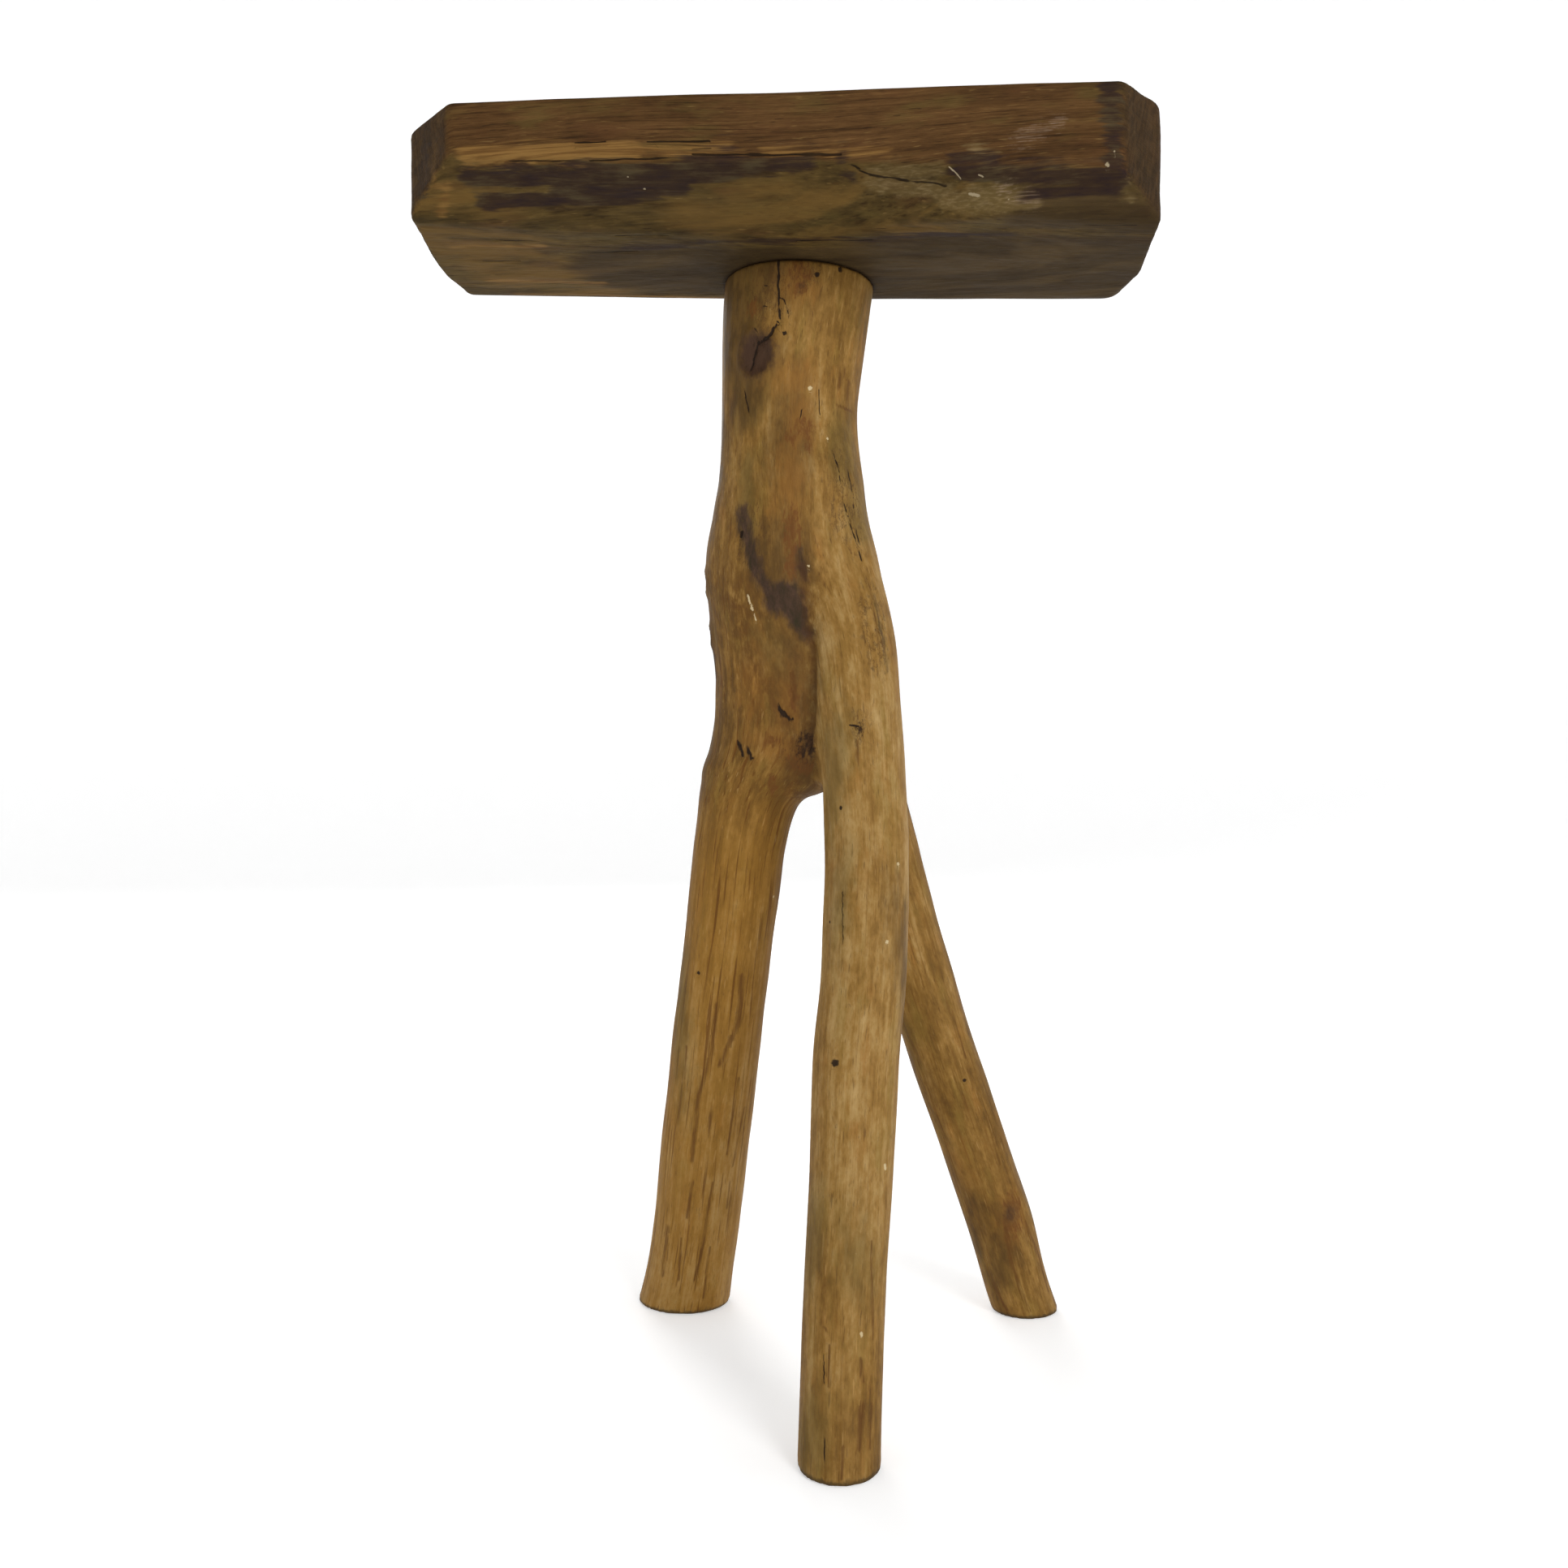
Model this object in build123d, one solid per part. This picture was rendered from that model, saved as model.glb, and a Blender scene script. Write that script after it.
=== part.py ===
"""Rustic stool: a hewn plank seat on one naturally forked branch.

The branch stands upside down. Its trunk comes down from the seat and divides into
three prongs, which are the legs, so trunk and legs are one piece of wood. A round
tenon on the trunk's end goes up through the seat and is spread by a wedge.

Frame: X along the seat, Y from the front of the stool to the back, Z up. The origin
is on the floor, below the middle of the stool. All sizes are in millimetres.
"""
import os

from build123d import *

# Seat slab
SEAT_HEIGHT = 460.0        # floor to the top of the seat
SEAT_LENGTH = 270.0
SEAT_FRONT_Y = -45.0
SEAT_BACK_Y = 96.5
UNDERSIDE_Z = 422.5        # middle of the underside, which slopes down to the right
UNDERSIDE_DROP = 10.0      # how much lower the underside is at its right end
FRONT_FACE_LEFT_Z = 441.5  # lower edge of the front face at the left end
FRONT_FACE_RIGHT_Z = 428.0
FRONT_BEVEL_Y = -20.0      # where the front bevel runs out into the underside
BACK_FACE_Z = 440.0
BACK_BEVEL_Y = 58.0        # where the underside turns up into the back bevel
CORNER_CUT_X = 19.0        # each seat corner is cut off straight down
CORNER_CUT_Y = 23.0
HEWN_EDGE_R = 2.5          # wear on the long edges and the corners

# Wedged tenon
TENON_R = 17.0
TENON_X = 3.0
TENON_Y = 42.0
WEDGE_TOP = 5.0            # thickness of the wedge at the seat top
WEDGE_TIP = 1.0
WEDGE_DEPTH = 33.0

# The branch, from its upper end down. Each row is one section square to the limb:
# centre x, y and z, then half its width across the stool and half its depth.
TRUNK = [
    (3, 42, 445, 30, 27),
    (1, 41, 400, 29, 26),
    (0, 40, 355, 27.5, 27),
    (1, 37, 310, 31, 27),
    (6, 34, 262, 24, 22),
    (9, 20, 216, 13.5, 13.5),
]
LEFT_LEG = [
    (-1, 39, 345, 17, 17),
    (-9, 36, 300, 21, 21),
    (-10.5, 37, 255, 19.8, 19.8),
    (-17, 39, 210, 19.7, 19.7),
    (-25, 44.5, 165, 18, 18),
    (-31, 52, 120, 18, 18),
    (-36.5, 59.5, 75, 18, 18),
    (-42.5, 66.5, 30, 17.8, 17.8),
    (-49, 74, -15, 20, 19),
]
FRONT_LEG = [
    (3, 36, 345, 22, 22),
    (20, 26.5, 300, 17, 17),
    (28, 13, 255, 16.2, 16.2),
    (31.5, 0, 210, 15.6, 15.6),
    (31, -13.5, 165, 15.4, 15.4),
    (28, -29, 120, 15, 15),
    (26, -46, 75, 14.3, 14.3),
    (24.5, -66, 30, 13.7, 13.7),
    (24.5, -88, -15, 13.5, 13.5),
]
RIGHT_LEG = [
    (5, 41, 300, 23, 23),
    (18, 48, 255, 16, 16),
    (32, 53, 210, 14.5, 14.5),
    (44.5, 58, 165, 14.1, 14.1),
    (58, 62, 120, 13.8, 13.8),
    (73, 66, 75, 13.6, 13.6),
    (87.5, 69, 30, 13.5, 13.5),
    (101, 72, -15, 13.5, 13.5),
]
FLOOR_BLOCK = 400.0        # size of the block below the floor that trims the feet


def plane_through(a, b, c):
    """The plane through three points, facing down."""
    first = Vector(*b) - Vector(*a)
    second = Vector(*c) - Vector(*a)
    normal = first.cross(second)
    if normal.Z > 0:
        normal = -normal
    return Plane(origin=a, z_dir=normal)


def hew(block, face_plane):
    """The block with everything outside the plane cut away."""
    return split(block, bisect_by=face_plane, keep=Keep.BOTTOM)


def seat_blank():
    """The slab before it is bored: a plank with a sloping underside and hewn bevels."""
    half = SEAT_LENGTH / 2
    depth = SEAT_BACK_Y - SEAT_FRONT_Y
    left_z = UNDERSIDE_Z + UNDERSIDE_DROP / 2
    right_z = UNDERSIDE_Z - UNDERSIDE_DROP / 2
    thickness = SEAT_HEIGHT - right_z
    middle = (0, (SEAT_FRONT_Y + SEAT_BACK_Y) / 2, SEAT_HEIGHT - thickness / 2)
    blank = Pos(*middle) * Box(SEAT_LENGTH, depth, thickness)

    outline = Pos(0, middle[1], 0) * Rectangle(SEAT_LENGTH, depth)
    corners = [
        Polygon(
            (side * half, edge_y),
            (side * half, edge_y + inward * CORNER_CUT_Y),
            (side * (half - CORNER_CUT_X), edge_y),
            align=None,
        )
        for side in (-1, 1)
        for edge_y, inward in ((SEAT_FRONT_Y, 1), (SEAT_BACK_Y, -1))
    ]
    outline -= corners
    blank &= extrude(outline, SEAT_HEIGHT)

    underside = plane_through((-half, 0, left_z), (half, 0, right_z), (half, depth, right_z))
    front_bevel = plane_through(
        (-half, SEAT_FRONT_Y, FRONT_FACE_LEFT_Z),
        (half, SEAT_FRONT_Y, FRONT_FACE_RIGHT_Z),
        (0, FRONT_BEVEL_Y, UNDERSIDE_Z),
    )
    back_bevel = plane_through(
        (-half, SEAT_BACK_Y, BACK_FACE_Z + UNDERSIDE_DROP / 2),
        (half, SEAT_BACK_Y, BACK_FACE_Z - UNDERSIDE_DROP / 2),
        (0, BACK_BEVEL_Y, UNDERSIDE_Z),
    )
    for face_plane in (underside, front_bevel, back_bevel):
        blank = hew(blank, face_plane)
    return fillet(blank.edges(), HEWN_EDGE_R)


def limb(stations):
    """One limb, lofted through sections that stand square to its own run."""
    centres = [Vector(*station[:3]) for station in stations]
    last = len(stations) - 1
    sections = []
    for i, station in enumerate(stations):
        run = centres[max(i - 1, 0)] - centres[min(i + 1, last)]
        square = Plane(origin=centres[i], x_dir=(1, 0, 0), z_dir=run)
        sections.append(square * Ellipse(*station[3:]))
    return loft(sections)


def tenon_cylinder():
    """The round tenon at full size, from inside the trunk to the seat top."""
    height = SEAT_HEIGHT - UNDERSIDE_Z + 2 * TENON_R
    return Pos(TENON_X, TENON_Y, SEAT_HEIGHT - height / 2) * Cylinder(TENON_R, height)


def wedge_prism():
    """The wedge before its two ends are rounded to the bore; it runs front to back."""
    side = Polygon(
        (-WEDGE_TOP / 2, 0),
        (-WEDGE_TIP / 2, -WEDGE_DEPTH),
        (WEDGE_TIP / 2, -WEDGE_DEPTH),
        (WEDGE_TOP / 2, 0),
        align=None,
    )
    upright = Plane(origin=(TENON_X, TENON_Y, SEAT_HEIGHT), x_dir=(1, 0, 0), z_dir=(0, -1, 0))
    return extrude(upright * side, 2 * TENON_R, both=True)


def forked_trunk(blank):
    """Trunk, three legs and tenon: one piece of wood, scribed to the seat's underside."""
    branch = limb(TRUNK) + limb(LEFT_LEG) + limb(FRONT_LEG) + limb(RIGHT_LEG)
    below_floor = Pos(0, 0, -FLOOR_BLOCK / 2) * Box(FLOOR_BLOCK, FLOOR_BLOCK, FLOOR_BLOCK)
    branch -= below_floor
    branch -= blank
    return branch + (tenon_cylinder() - wedge_prism())


def seat_slab(blank):
    """The slab with the round hole that the tenon fills."""
    return blank - tenon_cylinder()


def tenon_wedge():
    """The wedge in the tenon's kerf, flush with the seat top."""
    return wedge_prism() & tenon_cylinder()


def main():
    os.makedirs("parts", exist_ok=True)
    blank = seat_blank()
    nodes = {
        "seat_slab": seat_slab(blank),
        "forked_trunk": forked_trunk(blank),
        "tenon_wedge": tenon_wedge(),
    }
    for name, shape in nodes.items():
        export_step(shape, f"parts/{name}.step")
        box = shape.bounding_box()
        print(name, len(shape.solids()), "solid", round(shape.volume), box.min, box.max)


main()
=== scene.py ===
"""Looks of a rustic stool: a hewn plank seat on one upturned forked branch.

Each wooden piece is first described as a distance field, built from the same shapes
as the real piece: limbs that melt into each other, planes left by an axe, a bore.
The field is turned into an even mesh and then roughened. Marks such as knots, cracks
and stains are distance fields too, stored on the mesh for the materials to draw.
"""
import math

import bpy
import numpy as np
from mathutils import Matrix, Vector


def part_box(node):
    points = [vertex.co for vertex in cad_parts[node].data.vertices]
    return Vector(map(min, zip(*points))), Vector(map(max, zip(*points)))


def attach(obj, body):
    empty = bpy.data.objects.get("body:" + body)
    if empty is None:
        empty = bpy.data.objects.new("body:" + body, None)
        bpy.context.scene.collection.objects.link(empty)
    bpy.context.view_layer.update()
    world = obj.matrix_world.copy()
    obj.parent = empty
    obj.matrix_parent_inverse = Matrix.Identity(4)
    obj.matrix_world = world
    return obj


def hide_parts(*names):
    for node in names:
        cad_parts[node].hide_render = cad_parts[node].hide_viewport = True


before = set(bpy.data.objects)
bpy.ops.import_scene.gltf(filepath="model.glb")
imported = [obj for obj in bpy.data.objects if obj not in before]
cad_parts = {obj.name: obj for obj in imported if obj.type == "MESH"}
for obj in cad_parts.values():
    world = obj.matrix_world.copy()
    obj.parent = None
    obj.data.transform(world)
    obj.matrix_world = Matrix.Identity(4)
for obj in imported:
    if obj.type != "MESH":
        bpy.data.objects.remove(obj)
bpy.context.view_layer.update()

import openvdb
from mathutils import Vector, noise

MM = 0.001                 # metres in a millimetre; the fields below are in millimetres

# Meshes
VOXEL = 1.35               # about the size of one mesh face
WEDGE_VOXEL = 0.6
BAND = 3.0                 # how many voxels from the surface a field is kept
SLICE = 24                 # layers of a grid worked out at a time

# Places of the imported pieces
SEAT_LOW = np.array(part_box("seat_slab")[0]) / MM
SEAT_HIGH = np.array(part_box("seat_slab")[1]) / MM
WEDGE_LOW = np.array(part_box("tenon_wedge")[0]) / MM
WEDGE_HIGH = np.array(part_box("tenon_wedge")[1]) / MM
BRANCH_LOW = np.array(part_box("forked_trunk")[0]) / MM
BRANCH_HIGH = np.array(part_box("forked_trunk")[1]) / MM

# Seat
TOP = SEAT_HIGH[2]
HALF_LENGTH = SEAT_HIGH[0]
FRONT = SEAT_LOW[1]
BACK = SEAT_HIGH[1]
UNDERSIDE = 422.5          # middle of the underside, which slopes down to the right
UNDERSIDE_TILT = 5.0       # drop of the underside from the middle to either end
FRONT_FACE_LEFT = 441.5    # lower edge of the front face
FRONT_FACE_RIGHT = 428.0
BACK_FACE = 438.5
BACK_BEVEL = 58.0          # where the underside turns up towards the back
FRONT_BEVEL = (            # places along the seat, and where the front bevel runs out there
    (-135, -70, 0, 40, 84, 135), (-20, -14, -8, -20, -32, -22),
)
BEVEL_SLANT = 0.92         # the bevels lean, so a point is nearer to them than it is above them
CORNERS = (                # side, edge, cut along the seat, cut across it, wear
    (-1, -1, 21.0, 24.0, 2.4), (1, -1, 16.0, 20.0, 2.4), (-1, 1, 16.5, 20.5, 7.0),
    (1, 1, 27.0, 20.0, 8.0),
)
SAG = (2.7, 2.7, 0.3)      # how much lower the underside is at the back: left, middle, right
BULGE = (3.6, 0.8)         # how much further either end stands out behind its middle
BULGE_Y = 26.0             # where it stands out most
BULGE_SPREAD = 28.0
WORN_EDGE = 2.2
END_SPARE = 1.2            # the ends stand this much beyond the plain slab
PITH = (10.0, 560.0)       # middle of the log that the plank came from, above the seat
PITH_REACH = 120.0         # about how far the plank is from it

# Tenon and wedge
TENON_X = (WEDGE_LOW[0] + WEDGE_HIGH[0]) / 2
TENON_Y = (WEDGE_LOW[1] + WEDGE_HIGH[1]) / 2
TENON_R = (WEDGE_HIGH[1] - WEDGE_LOW[1]) / 2
TENON_LENGTH = 80.0        # its lower end is inside the trunk
TENON_GAP = 0.2
TENON_PROUD = 0.5          # the seat has shrunk a little round the tenon
WEDGE_TOP = WEDGE_HIGH[0] - WEDGE_LOW[0]
WEDGE_TIP = 1.0

# Limbs of the branch, from the top down: centre x, y, z and radius at each station
TRUNK = (
    (4, 42, 470, 30.5), (4, 42, 425, 30), (2, 41, 400, 29), (0, 40, 372, 27.3),
    (-0.5, 39, 352, 27), (0, 37.5, 326, 28), (1, 37, 305, 28.8), (3, 35, 280, 25),
    (6, 32, 258, 20), (8, 28.5, 245, 15), (9.5, 26.5, 236, 11), (11, 26, 229, 8.5),
    (11.5, 26, 225, 7),
)
LEFT_LEG = (
    (3, 41, 395, 6), (2, 40, 368, 13), (0.5, 39, 350, 18), (-3.5, 37, 325, 22.5),
    (-10.3, 36, 303, 21.2), (-11.5, 36, 280, 19), (-9.4, 37, 261, 19.8), (-7.4, 37.5, 244, 22.8),
    (-9, 38, 232, 22.8), (-13.2, 38.5, 221, 20.8), (-17, 39, 210, 19.1), (-20, 40, 196, 18.2),
    (-23.7, 44, 169, 18.1), (-27.3, 48.5, 142, 18),
    (-31.8, 54, 108, 18), (-36.4, 60, 73, 18.2), (-41, 66, 37, 17.8), (-44.7, 70, 15, 18),
    (-48.7, 74, -5, 19.5), (-52, 77, -20, 20.5),
)
FRONT_LEG = (
    (2, 41, 395, 6), (3, 40, 370, 12), (5, 37, 350, 16.5), (11.5, 32, 320, 18.5),
    (19, 27, 300, 17.3), (25, 20, 277, 16.5), (28, 11, 250, 16.2), (30.5, 3, 222, 15.8),
    (31.7, -3, 194, 15.6), (31.3, -11.5, 171, 15.5), (30.5, -19.5, 147, 15.4), (28.6, -28, 123, 15.2),
    (27.6, -37, 97, 14.8), (26.4, -47, 71, 14.4), (25.2, -57.5, 47, 14), (24.7, -68, 24, 13.6),
    (24.4, -80, 0, 13.4), (24.5, -91, -20, 13.4),
)
RIGHT_LEG = (
    (1, 39, 360, 6), (2, 39, 335, 13), (6, 41, 305, 21), (11, 44.5, 280, 19), (18, 48, 255, 16),
    (25.7, 50.5, 232, 15), (33.3, 53, 208, 14.5), (41.9, 56.5, 175, 14.2), (51.4, 60, 141, 14.1),
    (62.4, 63, 107, 13.9), (73.8, 66, 73, 13.6), (85.2, 68.5, 39, 13.3), (93, 70.5, 11, 13),
    (96.5, 71.5, 0, 13.2), (102, 73, -20, 13.4),
)
LEG_MELT = 13.0            # how softly the right leg runs into the trunk
FOOT_EDGE = 1.8            # wear round the feet
JOIN = 300.0               # height where the legs grow together
FORK_LOW = 205.0           # the inside of the fork, between these heights, gets painted shade
FORK_HIGH = 310.0
UNDER_TRUNK_R = 36.0       # round the tenon the seat stays smooth, where the trunk stands against it

# Camera
EYE = (0.042, -0.564, 0.2197)   # metres
EYE_TURN = 4.2             # degrees to the left
LENS = 34.55
SENSOR = 36.0

MARK_SQUASH = 0.1          # share of a point's depth that counts when it is near a mark
MARK_DEPTH = 6.0           # beyond this depth a mark doesn't reach
FINE_REACH = 2.2           # how far round a fine mark the mesh knows of it, at least
FINE_FAR = (0.0, 0.0, 40.0)   # what it holds further away: so many half widths off

# Marks on the branch. A spot is a centre and its half sizes; a stroke is a run of
# points and its width. Everything is in the frame's own millimetres.
BRANCH_SPOTS = {
    "knot": (
        ((-10.8, 17, 386), (7.8, 8, 8.8)), ((12, 11, 236), (1.5, 6, 3.4)),
        ((-6, 66, 352), (5, 6, 7)), ((13, 62, 300), (6, 6, 9)), ((-36, 74, 150), (3, 5, 4.5)),
        ((-34, 34, 300), (2.5, 5, 4)), ((-31, 36, 279), (2, 5, 3.5)), ((88.5, 56, 44), (1.3, 3, 1.5)),
    ),
    "stain": (
        ((0, 11, 291), (8, 6, 6.5)), ((5, 11, 285), (4, 6, 7)), ((-31, 34, 268), (2.5, 6, 9)),
        ((20, 66, 345), (7, 6, 22)),
        ((74, 78, 92), (6, 6, 12)),
    ),
    "rust": (
        ((7, 14, 357), (3.4, 5, 3.6)), ((2.5, 14, 352), (2, 5, 3)), ((9, 14, 350), (1.6, 5, 3.5)),
        ((3, 10, 315), (3.6, 6, 10)), ((2.5, 10, 303), (2.6, 6, 5)), ((3.5, 14, 253), (1.6, 5, 6)),
        ((-4, 18, 237), (2.4, 5, 1.6)), ((90, 57, 44), (4, 4, 8)), ((-5, 14, 218), (1.8, 5, 4)),
        ((7, 14, 229), (5, 6, 6)), ((-22, 60, 330), (5, 9, 9)), ((26, 30, 240), (3, 6, 8)),
        ((-12, 16, 404), (2.4, 5, 3.5)), ((6, 14, 414), (4, 5, 6)),
    ),
    # Dark brown patches: partly stains, partly painted shade at the top left of the trunk under the seat
    # and on the legs
    "umber": (
        ((-22, 24, 414), (15, 16, 20)), ((-10, 18, 423), (18, 12, 9)), ((-20, 22, 394), (12, 14, 22)),
        ((-16, 18, 372), (9, 12, 14)), ((4, 13, 257), (9, 8, 24)), ((-9, 14, 413), (11, 9, 13)),
        ((-2, 12, 303), (12, 8, 22)),
        ((6, 14, 228), (7, 8, 9)), ((-30, 34, 350), (5, 12, 26)),
        ((60, 64, 120), (8, 8, 26)), ((44, -22, 154), (3, 8, 26)), ((6, 68, 300), (16, 8, 36)),
        ((74, 60, 34), (4, 8, 26)),
        ((86, 57, 25), (6, 8, 13)),
        ((1.5, 14, 350), (9, 10, 26)),
        ((-6, 66, 404), (16, 8, 16)), ((31, 44, 330), (6, 12, 24)),
    ),
    "bark": (
        ((24, 17, 326), (8, 10, 26)), ((35, 6, 280), (6, 10, 26)), ((7, 13, 233), (9, 8, 9)),
        ((-5, 15, 405), (8, 10, 16)), ((-10, 15, 312), (7, 8, 14)),
        ((-2, 68, 330), (14, 8, 34)), ((29, -9, 240), (4, 6, 9)), ((40, 60, 230), (6, 12, 30)),
        ((9, 14, 416), (10, 8, 6)), ((-40, 84, 60), (8, 6, 30)),
    ),
    "bark_hole": (
        ((9.5, 12, 234), (4.2, 6, 5.5)), ((29.2, -9, 240.5), (1.6, 5, 2.6)),
        ((-32, 38, 279), (1.5, 5, 3)),
        ((-6, 66, 340), (5, 6, 6)),
    ),
    "orange": (
        ((6, 13, 360), (5, 6, 10)), ((2, 12, 336), (6, 6, 16)), ((-4, 16, 236), (10, 6, 7)),
        ((2, 14, 250), (5, 6, 12)), ((-22, 60, 330), (7, 9, 20)), ((4, 13, 376), (9, 6, 6)),
        ((-12, 14, 262), (6, 6, 14)), ((5, 14, 412), (6, 6, 8)), ((90, 57, 44), (5, 4, 9)),
    ),
    # Olive patches: partly stains, partly painted shade on the left side of the trunk under the seat
    "olive": (
        ((-20, 22, 404), (10, 14, 26)), ((-14, 18, 370), (7, 12, 12)),
        ((22, 22, 348), (7, 12, 18)), ((26, 24, 326), (6, 12, 16)), ((12, -88, 14), (5, 9, 20)),
        ((0, 68, 400), (14, 6, 18)), ((20, -8, 225), (6, 6, 24)), ((23, -22, 176), (4, 6, 26)),
        ((28, -60, 60), (6, 6, 20)), ((-14, 14, 330), (4, 8, 20)), ((-8, 14, 272), (8, 6, 10)),
        ((-44, 41, 128), (4, 8, 34)), ((14, -57, 66), (4, 8, 28)),
    ),
}
BRANCH_STROKES = {
    "stain": (
        (((-16, 14, 325), (-13, 13, 313), (-9.5, 12, 300)), 5.5),
        (((6, 11, 309), (7.6, 11, 298)), 3.0),
        (((-9, 12, 299), (-5, 11, 293), (1, 11, 287), (9, 11.5, 277)), 5.0),
        (((36, 10, 292), (38.5, 4, 262)), 0.8),
    ),
    # A dark line along the crease between the web and the front leg: a stained line together with painted
    # crease shade
    "crease": (
        (((5, 12, 306), (7.6, 10.6, 297), (9.4, 10.5, 280), (11.3, 9.5, 268), (12.4, 8.5, 256),
          (13.5, 9, 244), (14, 11, 234)), 3.0),
    ),
}

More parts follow.
